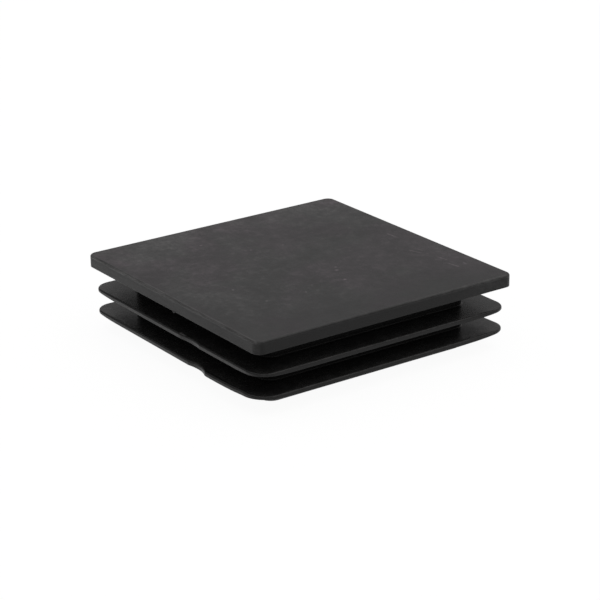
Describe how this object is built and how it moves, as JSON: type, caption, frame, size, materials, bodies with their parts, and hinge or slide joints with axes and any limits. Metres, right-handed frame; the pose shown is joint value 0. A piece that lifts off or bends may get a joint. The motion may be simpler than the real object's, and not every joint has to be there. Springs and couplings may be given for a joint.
{
  "type": "square tube end plug",
  "caption": "Square push-in plug for the open end of a square tube: a flat cover plate over a hollow square core ringed by thin gripping fins.",
  "frame": {"origin": "centre of the seating plane on the underside of the head, where the cut end of the tube stops", "axes": "+Z out of the tube through the head's outer face, X and Y square to the sides; -X is the side with the nicked fins and -Y the side to the right of it in the picture"},
  "size_m": [0.1001, 0.1, 0.0258],
  "materials": {
    "black_plastic": "fine satin grain, slightly scuffed"
  },
  "bodies": {
    "root": {"end_plug": "black_plastic"}
  },
  "joints": []
}
